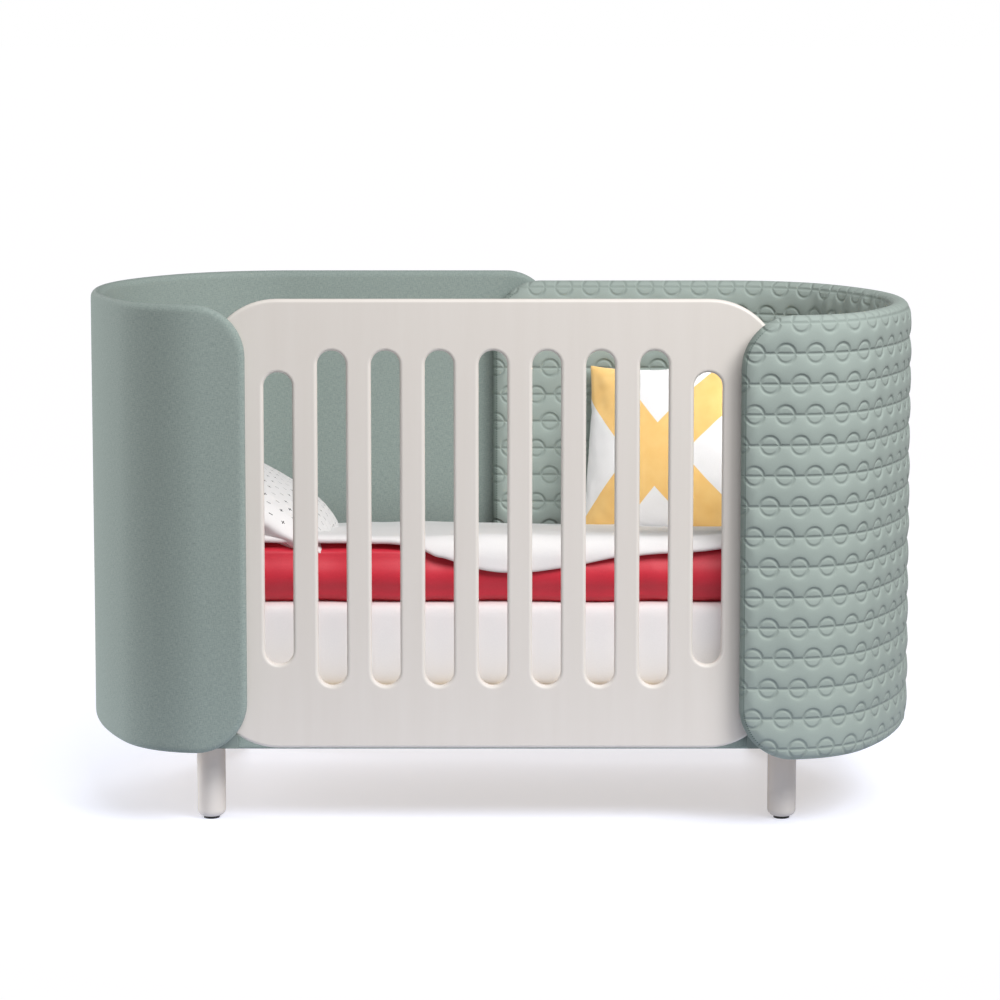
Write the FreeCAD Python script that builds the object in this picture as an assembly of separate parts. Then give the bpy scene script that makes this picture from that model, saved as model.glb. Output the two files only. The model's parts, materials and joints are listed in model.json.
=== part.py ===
import FreeCAD, Part
import math
import os

# Toddler bed: two upholstered half-shells with rounded ends stand on one oval base, and a slotted
# gate slides down behind the lips of the shells at the front. Millimetres. The origin is on the
# floor under the middle of the bed, +Z is up, +X is the quilted end and -Y is the gate side.

# Whole bed
overall_length = 1480.0
overall_depth = 842.0
overall_height = 920.0

# Left shell: plywood core in a foam-backed cover
left_skin = 7.0
left_core = 10.0
left_bottom = 140.0
left_top = 912.0
left_corner = 90.0
left_front_reach = 230.0
left_front_radius = 168.0
left_back_reach = 340.0
left_back_radius = 300.0
left_back_end = 101.0

# Right shell: plywood core in padding, under a loose quilted cover
quilt_skin = 9.0
padding_skin = 7.0
right_core = 10.0
right_bottom = 131.0
right_top = 895.0
right_corner = 92.0
right_front_reach = 256.0
right_front_radius = 190.0
right_back_reach = 300.0
right_back_radius = 250.0
right_back_end = -14.0
lap_gap = 3.0

# Gate panel
gate_left_inset = 234.0
gate_right_inset = 260.0
gate_bottom = 145.0
gate_thickness = 18.0
gate_corner = 125.0
gate_round = 6.0
gate_play = 1.0
gate_side_play = 1.5
lip_overlap = 72.0
slot_width = 49.0
bar_width = 42.7
stile_width = 100.0
slot_bottom_rail = 108.5
slot_top_rail = 88.0
short_slot_step = 37.0

# Gate channels, rests and bolts
channel_metal = 2.0
channel_grip = 20.0
channel_foot_gap = 8.0
rest_width = 58.0
rest_height = 50.0
rest_play = 0.3
rest_screw_inset = 12.0
channel_screw_shares = (0.08, 0.5, 0.92)
bolt_height = 700.0
bolt_diameter = 6.0
bolt_travel = 14.0
bolt_play = 0.1
bolt_stand_off = 6.5
keeper_height = 24.0
keeper_play = 0.5
keeper_gap = 2.5
housing_length = 52.0
housing_height = 30.0
housing_depth = 12.0
housing_gap = 5.5
housing_screw_reach = 19.0
housing_screw_rise = 9.6
housing_screw_bite = 8.0
stud_diameter = 5.0
stud_proud = 2.0
stud_inset = 6.0
stud_play = 0.5

# Base
deck_bottom = 141.0
deck_thickness = 18.0
rail_width = 22.0
rail_height = 69.0
back_rail_inset = 46.0
slat_thickness = 12.0
slat_width = 60.0
slat_space = 43.0
base_gap = 0.5
cover_thickness = 2.0
cover_return = 30.0
cover_overhang = 1.0

# Legs
leg_diameter = 50.0
leg_round = 12.0
leg_left_inset = 233.0
leg_right_inset = 247.0
leg_front_inset = 143.0
leg_back_inset = 125.0
glide_diameter = 28.0
glide_thickness = 4.0
plate_side = 64.0
plate_thickness = 3.0
plate_hole_pitch = 52.0
hanger_diameter = 8.0
hanger_depth = 36.0

# Fasteners
screw_diameter = 4.0
screw_head = 8.0
screw_head_height = 2.4
screw_length = 14.0
bracket_width = 30.0
bracket_leg = 40.0
bracket_metal = 2.5
bracket_angle = 20.0
bracket_play = 0.1
bracket_hole_share = 0.65
bracket_shares = (0.2, 0.8)
lap_bolt_diameter = 8.0
lap_head_diameter = 18.0
lap_head_height = 3.0
lap_nut_diameter = 14.0
lap_spacer_diameter = 16.0
lap_bolt_heights = (300.0, 520.0, 740.0)

# Bedding
mattress_thickness = 150.0
mattress_play = 7.0
mattress_front_gap = 18.0
comforter_inset = 6.0
comforter_front = 100.0
comforter_back = 17.0
duvet_thickness = 14.0
duvet_front_inset = 14.0
comforter_left_inset = 150.0
comforter_right_inset = 140.0
pillow_length = 345.0
pillow_front_gap = 20.0
pillow_back_gap = 165.0
pillow_thickness = 95.0
pillow_tilt = 28.0
pillow_round = 42.0
pillow_foot_inset = 418.0
cushion_side = 312.0
cushion_thickness = 90.0
cushion_round = 38.0
cushion_yaw = 37.0
cushion_lean = 16.0
cushion_end_inset = 472.0
cushion_back_inset = 238.0
rest_gap = 1.0

# Planes that pieces share
V = FreeCAD.Vector
up = V(0, 0, 1)
half_length = overall_length / 2
left_wall = left_core + 2 * left_skin
right_skin = quilt_skin + padding_skin
right_wall = right_core + 2 * right_skin
front_inner = -overall_depth / 2 + right_wall
left_inner_back = overall_depth / 2 - left_wall
right_outer_back = left_inner_back - lap_gap
right_inner_back = right_outer_back - right_wall
gate_front = front_inner + channel_metal + gate_play
gate_back = gate_front + gate_thickness
gate_left = -half_length + gate_left_inset
gate_right = half_length - gate_right_inset
gate_middle = (gate_left + gate_right) / 2
base_front = gate_back + gate_play + cover_thickness
base_back = right_inner_back - base_gap
back_rail_y = base_back - back_rail_inset
deck_top = deck_bottom + deck_thickness
rail_top = deck_top + rail_height
slat_top = rail_top + slat_thickness
mattress_front = gate_back + mattress_front_gap
mattress_top = slat_top + mattress_thickness
rails_left = gate_left + rail_width
rails_right = half_length - right_back_reach - rail_width
split_x = right_back_end - 2 * base_gap
bay_margin = gate_side_play + 2 * channel_metal
bed_strip = (mattress_front, right_inner_back - mattress_play)
comforter_left = -half_length + comforter_left_inset
comforter_right = half_length - comforter_right_inset
pillow_front = bed_strip[0] + pillow_front_gap
pillow_width = bed_strip[1] - pillow_back_gap - pillow_front
pillow_middle = pillow_front + pillow_width / 2

left_shell = {
    "side": -1,
    "front": front_inner - left_wall,
    "back": overall_depth / 2,
    "lip": -(gate_left + lip_overlap),
    "end": -left_back_end,
    "reach": (left_front_reach, left_back_reach),
    "radius": (left_front_radius, left_back_radius),
    "bottom": left_bottom,
    "top": left_top,
    "corner": left_corner,
    "wall": left_wall,
}
right_shell = {
    "side": 1,
    "front": -overall_depth / 2,
    "back": right_outer_back,
    "lip": gate_right - lip_overlap,
    "end": right_back_end,
    "reach": (right_front_reach, right_back_reach),
    "radius": (right_front_radius, right_back_radius),
    "bottom": right_bottom,
    "top": right_top,
    "corner": right_corner,
    "wall": right_wall,
}

parts = {}


def box(x0, x1, y0, y1, z0, z1):
    return Part.makeBox(x1 - x0, y1 - y0, z1 - z0, V(x0, y0, z0))


def rod(x, y, z, diameter, length, direction=up):
    return Part.makeCylinder(diameter / 2, length, V(x, y, z), direction)


def union(shapes):
    shapes = list(shapes)
    return shapes[0].multiFuse(shapes[1:]).removeSplitter()


def group(shapes):
    return Part.makeCompound(list(shapes))


def arc(centre, radius, start, stop):
    # Edge on a plan circle between two angles in radians.
    angles = (start, (start + stop) / 2, stop)
    points = [V(centre[0] + radius * math.cos(a), centre[1] + radius * math.sin(a), 0) for a in angles]
    return Part.Arc(*points).toShape()


def quarters(shell):
    # The front and back quarters of the rounded end. Each has the way it lies from the middle, how
    # far from the end its tight arc's centre is, and the radii of its tight and its wide arc.
    half = (shell["back"] - shell["front"]) / 2
    result = []
    for way, reach, radius in zip((-1, 1), shell["reach"], shell["radius"]):
        wide = (reach ** 2 + (half - radius) ** 2 - radius ** 2) / (2 * (reach - radius))
        result.append((way, reach, radius, wide))
    return result


def outline(shell, inset, open_x, z0, z1):
    # Prism of the plan inside one shell's outer face, offset inwards by inset. Each quarter of the
    # rounded end is two tangent arcs: a tight one at the straight wall and a wide one at the end.
    half = (shell["back"] - shell["front"]) / 2
    middle = (shell["back"] + shell["front"]) / 2
    edges = []
    corners = []
    for way, reach, radius, wide in quarters(shell):
        meet = way * math.atan2(half - radius, wide - reach)
        tight_centre = (half_length - reach, middle + way * (half - radius))
        edges.append(arc(tight_centre, radius - inset, way * math.pi / 2, meet))
        edges.append(arc((half_length - wide, middle), wide - inset, meet, 0))
        corners.append(V(tight_centre[0], middle + way * (half - inset), 0))
    start = V(open_x, corners[0].y, 0)
    stop = V(open_x, corners[1].y, 0)
    edges.append(Part.makeLine(start, corners[0]))
    edges.append(Part.makeLine(stop, corners[1]))
    edges.append(Part.makeLine(start, stop))
    face = Part.Face(Part.Wire(Part.__sortEdges__(edges)))
    if shell["side"] < 0:
        face = face.mirror(V(0, 0, 0), V(1, 0, 0))
    prism = face.extrude(V(0, 0, z1 - z0))
    prism.translate(V(0, 0, z0))
    return prism


def corner_cut(shell, edge, y0, y1, z, way, inset):
    # The waste outside a rounded corner of the wall's elevation, at the top (way 1) or bottom (-1).
    radius = shell["corner"]
    side = shell["side"]
    x0, x1 = sorted((side * (edge - 1), side * (edge + radius)))
    z0, z1 = sorted((z - way * radius, z + way))
    disc = rod(side * (edge + radius), y0, z - way * radius, 2 * (radius - inset), y1 - y0, V(0, 1, 0))
    return box(x0, x1, y0, y1, z0, z1).cut(disc)


def wall(shell, inset, thickness, below=0.0, edge=0.0):
    # One layer of a shell's wall: inset is how far it lies inside the outer faces, rims and edges.
    # below carries it down past the rim, and edge stops it that far short of both upright edges.
    side = shell["side"]
    reach_in = min(shell["lip"], shell["end"]) - 10
    middle = (shell["back"] + shell["front"]) / 2
    z0 = shell["bottom"] + inset - below
    z1 = shell["top"] - inset
    body = outline(shell, inset, reach_in, z0, z1).cut(
        outline(shell, inset + thickness, reach_in - 1, z0 - 1, z1 + 1))
    waste = []
    for start, y0, y1 in ((shell["lip"], -overall_depth, middle), (shell["end"], middle, overall_depth)):
        x0, x1 = sorted((side * (reach_in - 20), side * (start + inset + edge)))
        waste.append(box(x0, x1, y0, y1, z0 - 2, z1 + 2))
        if edge == 0:
            waste.append(corner_cut(shell, start, y0, y1, shell["top"], 1, inset))
            waste.append(corner_cut(shell, start, y0, y1, shell["bottom"], -1, inset))
    return body.cut(waste)


def sleeve(shell, inset, thickness):
    # A cover that goes over the wall from above and is open along its lower rim.
    inner = inset + thickness
    cavity = wall(shell, inner, shell["wall"] - 2 * inner)
    mouth = wall(shell, inner, shell["wall"] - 2 * inner, 2 * inner, shell["corner"])
    keep = box(-overall_length, overall_length, -overall_depth, overall_depth,
               shell["bottom"] - inner, shell["bottom"] + shell["corner"])
    return wall(shell, inset, shell["wall"] - 2 * inset).cut([cavity, mouth.common(keep)])


def inside(clearance, z0, z1):
    # Plan between the two shells, the gate bay left out, with a clearance to every wall.
    left_part = outline(left_shell, left_wall + clearance, -half_length, z0, z1)
    left_part = left_part.common(box(-half_length, split_x, -overall_depth, overall_depth, z0, z1))
    right_part = outline(right_shell, right_wall + clearance, -half_length, z0, z1)
    right_part = right_part.common(box(split_x, half_length, -overall_depth, overall_depth, z0, z1))
    bay = box(gate_left - bay_margin, gate_right + bay_margin, -overall_depth, base_front, z0, z1)
    return union([left_part, right_part]).cut(bay)


def screw(x, y, z, direction, length=screw_length):
    # Pan-head screw whose head bears at the point given and whose shank runs along direction.
    shank = rod(x, y, z, screw_diameter, length, direction)
    head = Part.makeCylinder(screw_head / 2, screw_head_height, V(x, y, z), direction * -1)
    return union([shank, head])


def countersunk(x, y, z, direction, length=screw_length):
    # Countersunk screw whose head is flush with the face at the point given.
    shank = rod(x, y, z, screw_diameter, length, direction)
    head = Part.makeCone(screw_head / 2, screw_diameter / 2, channel_metal, V(x, y, z), direction)
    return union([shank, head])


# Shell brackets: on the straight back wall and each side of the end's crown
bracket_shapes = []
deck_screws = []
wall_screws = []


def add_bracket(x, y, angle, depth, gap):
    # An angle bracket on the deck against the wall, facing outwards at the angle in degrees and
    # standing off the wall by the gap that its flat back needs.
    spin = FreeCAD.Rotation(up, angle)
    out = spin.multVec(V(1, 0, 0))
    place = FreeCAD.Placement(V(x, y, deck_top) - out * gap, spin)
    half = bracket_width / 2
    upright = box(-bracket_metal, 0, -half, half, 0, bracket_leg)
    foot = box(-bracket_leg, 0, -half, half, 0, bracket_metal)
    shape = union([upright, foot])
    wall_hole = place.multVec(V(-bracket_metal, 0, bracket_leg * bracket_hole_share))
    deck_hole = place.multVec(V(-bracket_leg * bracket_hole_share, 0, bracket_metal))
    shape.Placement = place
    wall_screw = screw(*wall_hole, out, bracket_metal + gap + depth)
    deck_screw = screw(*deck_hole, up * -1)
    bracket_shapes.append(shape.cut([wall_screw, deck_screw]))
    wall_screws.append(wall_screw)
    deck_screws.append(deck_screw)


for shell, skin in ((left_shell, left_skin), (right_shell, right_skin)):
    side = shell["side"]
    depth = skin + screw_length / 2
    inner_back = shell["back"] - shell["wall"]
    straight_start = half_length - shell["reach"][1]
    back_start = split_x if side > 0 else -split_x
    near = back_start + 2 * bracket_width
    for share in bracket_shares:
        x = near + share * (straight_start - near)
        add_bracket(side * x, inner_back, 90, depth, bracket_play)
    middle = (shell["back"] + shell["front"]) / 2
    for way, reach, radius, wide in quarters(shell):
        turn = math.radians(bracket_angle)
        inner = wide - shell["wall"]
        x = half_length - wide + inner * math.cos(turn)
        y = middle + way * inner * math.sin(turn)
        facing = way * bracket_angle if side > 0 else 180 - way * bracket_angle
        hollow = (bracket_width / 2) ** 2 / (2 * inner)
        add_bracket(side * x, y, facing, depth, bracket_play + hollow)

parts["shell_brackets"] = group(bracket_shapes)
parts["bracket_screws"] = group(wall_screws + deck_screws)

# Bolts that join the two back walls where they lap
lap_x = (left_back_end + right_back_end) / 2
lap_core_face = right_outer_back - right_skin
lap_bolts = []
lap_nuts = []
lap_spacers = []
for height in lap_bolt_heights:
    head_face = overall_depth / 2 - lap_head_height
    shank_end = lap_core_face - right_core
    shank = rod(lap_x, shank_end, height, lap_bolt_diameter, head_face - shank_end, V(0, 1, 0))
    head = rod(lap_x, head_face, height, lap_head_diameter, lap_head_height, V(0, 1, 0))
    lap_bolts.append(union([shank, head]))
    nut = rod(lap_x, shank_end, height, lap_nut_diameter, right_core, V(0, 1, 0))
    lap_nuts.append(nut.cut(shank))
    spacer = rod(lap_x, right_outer_back, height, lap_spacer_diameter, lap_gap, V(0, 1, 0))
    lap_spacers.append(spacer.cut(shank))
parts["lap_bolts"] = group(lap_bolts)
parts["lap_nuts"] = group(lap_nuts)
parts["lap_spacers"] = group(lap_spacers)

# Gate channels: a U that holds each upright edge of the gate, a keeper for the bolt, and a curved rest
channel_bottom = gate_bottom + gate_corner + channel_foot_gap
channel_top = overall_height - gate_corner - channel_foot_gap
bolt_y = gate_back + bolt_stand_off
housing_face = gate_back + housing_depth
channel_screws = []
rest_screws = []
for name, edge, side in (("left", gate_left, -1), ("right", gate_right, 1)):
    web = edge + side * gate_side_play
    out_x = web + side * channel_metal
    in_x = web - side * channel_grip
    back_face = gate_back + gate_play
    outer = box(*sorted((out_x, in_x)), front_inner, back_face + channel_metal, channel_bottom, channel_top)
    groove_front = gate_front - gate_play
    groove = box(*sorted((web, in_x - side)), groove_front, back_face, channel_bottom, channel_top)
    ear_x = in_x - side * channel_metal
    ear = box(*sorted((in_x, ear_x)), back_face, housing_face, bolt_height - keeper_height / 2,
              bolt_height + keeper_height / 2)
    keeper_hole = rod(in_x + side, bolt_y, bolt_height, bolt_diameter + 2 * keeper_play,
                      channel_metal + 2, V(-side, 0, 0))
    screws = []
    for share in channel_screw_shares:
        z = channel_bottom + share * (channel_top - channel_bottom)
        screws.append(countersunk(web - side * channel_grip / 2, groove_front, z, V(0, -1, 0)))
    channel = union([outer.cut(groove), ear]).cut(screws + [keeper_hole])
    parts["gate_channel_" + name] = channel
    channel_screws += screws
    block = box(*sorted((out_x, out_x - side * rest_width)), front_inner, back_face, gate_bottom,
                gate_bottom + rest_height)
    corner_x = edge - side * gate_corner
    corner_disc = rod(corner_x, front_inner - 1, gate_bottom + gate_corner, 2 * (gate_corner + rest_play),
                      overall_depth / 2, V(0, 1, 0))
    gate_side = box(*sorted((edge + side * rest_play, corner_x)), front_inner - 1, back_face + 1,
                    gate_bottom + gate_corner, overall_height)
    rest_screw_x = out_x - side * rest_screw_inset
    rest_screw_length = back_face - front_inner + screw_length / 2
    rest_screw_z = gate_bottom + rest_height / 2
    rest_screw = countersunk(rest_screw_x, back_face, rest_screw_z, V(0, -1, 0), rest_screw_length)
    parts["gate_rest_" + name] = block.cut([corner_disc, gate_side, rest_screw])
    rest_screws.append(rest_screw)
parts["channel_screws"] = group(channel_screws)
parts["rest_screws"] = group(rest_screws)

# Shells
drilled = wall_screws + channel_screws + rest_screws + lap_bolts + lap_nuts
parts["left_shell_core"] = wall(left_shell, left_skin, left_core).cut(drilled)
parts["left_shell_cover"] = sleeve(left_shell, 0, left_skin).cut(drilled)
parts["right_shell_core"] = wall(right_shell, right_skin, right_core).cut(drilled)
parts["right_shell_padding"] = sleeve(right_shell, quilt_skin, padding_skin).cut(drilled)
parts["quilted_cover"] = sleeve(right_shell, 0, quilt_skin).cut(drilled)

# Legs, on plates under the deck, each with a hanger bolt and a felt glide
leg_top = deck_bottom - plate_thickness
hanger_bolts = []
plate_screws = []
leg_places = {
    "front_left": (-half_length + leg_left_inset, -overall_depth / 2 + leg_front_inset),
    "front_right": (half_length - leg_right_inset, -overall_depth / 2 + leg_front_inset),
    "back_left": (-half_length + leg_left_inset, overall_depth / 2 - leg_back_inset),
    "back_right": (half_length - leg_right_inset, overall_depth / 2 - leg_back_inset),
}
for name, (x, y) in leg_places.items():
    hanger = rod(x, y, leg_top - hanger_depth, hanger_diameter, deck_top - leg_top + hanger_depth)
    hanger_bolts.append(hanger)
    leg = rod(x, y, glide_thickness, leg_diameter, leg_top - glide_thickness)
    foot_edges = [e for e in leg.Edges if abs(e.BoundBox.ZMax - glide_thickness) < 0.01]
    parts["leg_" + name] = leg.makeFillet(leg_round, foot_edges).cut(hanger)
    parts["glide_" + name] = rod(x, y, 0, glide_diameter, glide_thickness)
    half = plate_side / 2
    plate = box(x - half, x + half, y - half, y + half, leg_top, deck_bottom)
    upright_edges = [e for e in plate.Edges if e.BoundBox.ZLength > plate_thickness / 2]
    plate = plate.makeFillet(plate_side / 8, upright_edges)
    pitch = plate_hole_pitch / 2
    corners = [(x + i * pitch, y + j * pitch) for i in (-1, 1) for j in (-1, 1)]
    screws = [screw(cx, cy, leg_top, up) for cx, cy in corners]
    parts["leg_plate_" + name] = plate.cut(screws + [hanger])
    plate_screws += screws
parts["hanger_bolts"] = group(hanger_bolts)
parts["plate_screws"] = group(plate_screws)

# Base: an oval deck, rails on it, and slats between two end boards
deck = inside(base_gap, deck_bottom, deck_top)
parts["base_deck"] = deck.cut(hanger_bolts + plate_screws + deck_screws)
rail = (deck_top, rail_top)
parts["front_rail"] = box(rails_left, rails_right, base_front, base_front + rail_width, *rail)
parts["back_rail"] = box(rails_left, rails_right, back_rail_y - rail_width, back_rail_y, *rail)
middle_y = (base_front + back_rail_y) / 2
centre = (middle_y - rail_width / 2, middle_y + rail_width / 2)
parts["centre_rail"] = box(rails_left, rails_right, *centre, *rail)
parts["left_end_rail"] = box(rails_left - rail_width, rails_left, base_front, back_rail_y, *rail)
parts["right_end_rail"] = box(rails_right, rails_right + rail_width, base_front, back_rail_y, *rail)
prop_end = left_wall + bracket_leg
parts["left_end_prop"] = box(-half_length + prop_end, rails_left - rail_width, *centre, *rail)
prop_end = right_wall + bracket_leg
parts["right_end_prop"] = box(rails_right + rail_width, half_length - prop_end, *centre, *rail)
board = inside(base_gap, rail_top, slat_top)
everywhere = (-overall_depth, overall_depth, rail_top, slat_top)
parts["left_end_board"] = board.common(box(-half_length, rails_left, *everywhere))
parts["right_end_board"] = board.common(box(rails_right, half_length, *everywhere))
slat_run = rails_right - rails_left
slat_count = int((slat_run - slat_space) / (slat_width + slat_space))
slat_pitch = (slat_run - slat_width * slat_count) / (slat_count + 1) + slat_width
for index in range(slat_count):
    x = rails_left + (slat_pitch - slat_width) + index * slat_pitch
    slat = box(x, x + slat_width, base_front, base_back, rail_top, slat_top)
    parts["slat_%d" % (index + 1)] = slat
face = box(rails_left - rail_width, rails_right + rail_width, base_front - cover_thickness, base_front,
           deck_bottom - cover_thickness, rail_top - cover_overhang)
under = box(rails_left - rail_width, rails_right + rail_width, base_front, base_front + cover_return,
            deck_bottom - cover_thickness, deck_bottom)
parts["front_rail_cover"] = union([face, under])

# Gate panel with its rounded slots, the outer pair shorter
panel = box(gate_left, gate_right, gate_front, gate_back, gate_bottom, overall_height)
upright = [e for e in panel.Edges if e.BoundBox.YLength > gate_thickness / 2]
panel = panel.makeFillet(gate_corner, upright)
slot_pitch = slot_width + bar_width
slot_count = 1 + int((gate_right - gate_left - 2 * stile_width - slot_width) / slot_pitch)
slots = []
for index in range(slot_count):
    x = gate_middle + (index - (slot_count - 1) / 2) * slot_pitch
    outer_slot = index in (0, slot_count - 1)
    z0 = gate_bottom + slot_bottom_rail + (short_slot_step if outer_slot else 0)
    z1 = overall_height - slot_top_rail - (short_slot_step if outer_slot else 0)
    radius = slot_width / 2
    slots.append(box(x - radius, x + radius, gate_front, gate_back, z0 + radius, z1 - radius))
    for z in (z0 + radius, z1 - radius):
        slots.append(rod(x, gate_front, z, slot_width, gate_thickness, V(0, 1, 0)))
panel = panel.cut(union(slots))
face_edges = []
for edge in panel.Edges:
    if edge.BoundBox.YLength < 0.01:
        face_edges.append(edge)
panel = panel.makeFillet(gate_round, face_edges)

# Gate bolts: a housing on the back of the gate, and a rod with a finger stud that slides in it
housing_screws = []
for name, edge, side in (("left", gate_left, -1), ("right", gate_right, 1)):
    tip = edge + side * gate_side_play - side * (channel_grip + channel_metal + keeper_gap)
    near = edge - side * (channel_grip + housing_gap)
    far = near - side * housing_length
    z0 = bolt_height - housing_height / 2
    housing = box(*sorted((near, far)), gate_back, housing_face, z0, z0 + housing_height)
    front_edges = [e for e in housing.Edges if abs(e.BoundBox.YMin - housing_face) < 0.01]
    housing = housing.makeFillet(gate_round / 3, front_edges)
    bore_diameter = bolt_diameter + 2 * bolt_play
    bore = rod(near + side, bolt_y, bolt_height, bore_diameter, housing_length + 2, V(-side, 0, 0))
    stud_x = near - side * (bolt_travel + stud_diameter + stud_inset)
    stud_room = stud_diameter / 2 + stud_play
    slot_ends = sorted((stud_x - side * stud_room, stud_x + side * (stud_room + bolt_travel)))
    stud_slot = box(*slot_ends, bolt_y, housing_face + 1, bolt_height - stud_room, bolt_height + stud_room)
    screws = []
    for way in (-1, 1):
        screw_x = near - side * (housing_length / 2 + way * housing_screw_reach)
        screw_z = bolt_height + way * housing_screw_rise
        housing_screw_length = housing_depth + housing_screw_bite
        screws.append(countersunk(screw_x, housing_face, screw_z, V(0, -1, 0), housing_screw_length))
    parts["bolt_housing_" + name] = housing.cut([bore, stud_slot] + screws)
    housing_screws += screws
    shaft = rod(tip, bolt_y, bolt_height, bolt_diameter, abs(far - tip) - bolt_travel, V(-side, 0, 0))
    stud = rod(stud_x, bolt_y, bolt_height, stud_diameter, housing_face + stud_proud - bolt_y, V(0, 1, 0))
    parts["gate_bolt_" + name] = union([shaft, stud])
parts["gate_panel"] = panel.cut(housing_screws)
parts["housing_screws"] = group(housing_screws)

# Mattress cut to the oval, with a comforter and a thin duvet on it

def mattress_plan(clearance, z0, z1):
    shape = outline(left_shell, left_wall + clearance, -half_length, z0, z1)
    shape = shape.common(outline(right_shell, right_wall + clearance, -half_length, z0, z1))
    margin = clearance - mattress_play
    strip = (bed_strip[0] + margin, bed_strip[1] - margin)
    return shape.common(box(-half_length, half_length, *strip, z0, z1))


parts["mattress"] = mattress_plan(mattress_play, slat_top, mattress_top)


def level(heights, y):
    # Height at y of a slope given by its heights at the front and the back of the mattress.
    return heights[0] + (heights[1] - heights[0]) * (y - bed_strip[0]) / (bed_strip[1] - bed_strip[0])


def wedge(y0, y1, low, high):
    # A layer across the bed between two slopes.
    corners = [(y0, level(low, y0)), (y1, level(low, y1)), (y1, level(high, y1)), (y0, level(high, y0))]
    points = [V(comforter_left, y, z) for y, z in corners]
    face = Part.Face(Part.makePolygon(points + points[:1]))
    return face.extrude(V(comforter_right - comforter_left, 0, 0))


comforter_top = (mattress_top + comforter_front, mattress_top + comforter_back)
comforter = wedge(*bed_strip, (mattress_top, mattress_top), comforter_top)
bed_room = mattress_plan(mattress_play + comforter_inset, mattress_top, overall_height)
parts["red_comforter"] = comforter.common(bed_room)
duvet_top = (comforter_top[0] + duvet_thickness, comforter_top[1] + duvet_thickness)
duvet = wedge(bed_strip[0] + comforter_inset + duvet_front_inset, bed_strip[1], comforter_top, duvet_top)
parts["white_duvet"] = duvet.common(bed_room)


def lean(length, round_edge, degrees):
    # How far a rounded bottom edge rises when its block turns about the sharp edge.
    turn = math.radians(degrees)
    return round_edge * (math.sin(turn) + math.cos(turn) - 1) - length * math.sin(turn)


# Pillow leaning on the left end, and a square cushion leaning on the right end
pillow = box(-pillow_length, 0, -pillow_width / 2, pillow_width / 2, 0, pillow_thickness)
pillow = pillow.makeFillet(pillow_round, pillow.Edges)
pillow.rotate(V(0, 0, 0), V(0, 1, 0), pillow_tilt)
pillow_base = level(duvet_top, pillow_middle - pillow_width / 2 + pillow_round) + rest_gap
pillow_rise = lean(0, pillow_round, pillow_tilt)
pillow.translate(V(-half_length + pillow_foot_inset, pillow_middle, pillow_base - pillow_rise))
parts["pillow"] = pillow
half = cushion_side / 2
cushion = box(-half, half, 0, cushion_thickness, 0, cushion_side)
cushion = cushion.makeFillet(cushion_round, cushion.Edges)
cushion.rotate(V(0, 0, 0), V(1, 0, 0), -cushion_lean)
cushion.rotate(V(0, 0, 0), up, -cushion_yaw)
cushion_y = right_inner_back - cushion_back_inset
cushion_near = cushion_y - (half - cushion_round) * math.sin(math.radians(cushion_yaw))
cushion_base = level(duvet_top, cushion_near) + rest_gap
cushion_rise = lean(cushion_thickness, cushion_round, cushion_lean)
cushion.translate(V(half_length - cushion_end_inset, cushion_y, cushion_base - cushion_rise))
parts["cushion"] = cushion

os.makedirs("parts", exist_ok=True)
for name, shape in parts.items():
    shape.exportStep("parts/" + name + ".step")
print(len(parts), "nodes written")
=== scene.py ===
import json
import math
import bmesh
import bpy
import numpy as np
from mathutils import Matrix, Vector, noise


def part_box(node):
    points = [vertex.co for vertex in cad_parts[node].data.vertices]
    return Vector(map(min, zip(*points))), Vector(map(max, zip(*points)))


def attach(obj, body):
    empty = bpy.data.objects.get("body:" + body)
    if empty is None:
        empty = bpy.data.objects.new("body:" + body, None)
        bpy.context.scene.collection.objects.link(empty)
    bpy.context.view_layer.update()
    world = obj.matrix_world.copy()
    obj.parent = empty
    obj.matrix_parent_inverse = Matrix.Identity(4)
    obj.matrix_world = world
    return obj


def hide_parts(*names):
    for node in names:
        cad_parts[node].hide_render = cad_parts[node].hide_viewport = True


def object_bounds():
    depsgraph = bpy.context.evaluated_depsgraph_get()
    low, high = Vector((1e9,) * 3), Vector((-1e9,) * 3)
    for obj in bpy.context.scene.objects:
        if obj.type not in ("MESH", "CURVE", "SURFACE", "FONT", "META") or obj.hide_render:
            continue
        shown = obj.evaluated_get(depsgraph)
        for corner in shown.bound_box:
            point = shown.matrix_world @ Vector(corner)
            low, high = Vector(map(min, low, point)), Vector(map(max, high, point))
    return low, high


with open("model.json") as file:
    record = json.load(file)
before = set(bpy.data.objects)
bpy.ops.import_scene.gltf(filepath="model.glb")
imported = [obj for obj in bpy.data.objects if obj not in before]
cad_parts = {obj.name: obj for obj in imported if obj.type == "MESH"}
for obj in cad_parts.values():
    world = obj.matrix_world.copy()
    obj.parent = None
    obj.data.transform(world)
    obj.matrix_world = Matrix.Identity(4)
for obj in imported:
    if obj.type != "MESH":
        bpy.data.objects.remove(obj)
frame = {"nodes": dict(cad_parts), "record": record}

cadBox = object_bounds()
mm = 0.001
halfLength = (cadBox[1].x - cadBox[0].x) / 2
print("frame loaded")


# Small tools: colours, shader nodes, materials and meshes

def hexColour(text):
    # sRGB hex to the linear values a shader wants
    values = [int(text[i:i + 2], 16) / 255 for i in (1, 3, 5)]
    return [v / 12.92 if v <= 0.04045 else ((v + 0.055) / 1.055) ** 2.4 for v in values] + [1.0]


def addNode(material, kind, inputs=None, **settings):
    node = material.node_tree.nodes.new(kind)
    for name, value in settings.items():
        setattr(node, name, value)
    for socket, value in (inputs or {}).items():
        if isinstance(value, bpy.types.NodeSocket):
            material.node_tree.links.new(value, node.inputs[socket])
        else:
            node.inputs[socket].default_value = value
    return node


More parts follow.
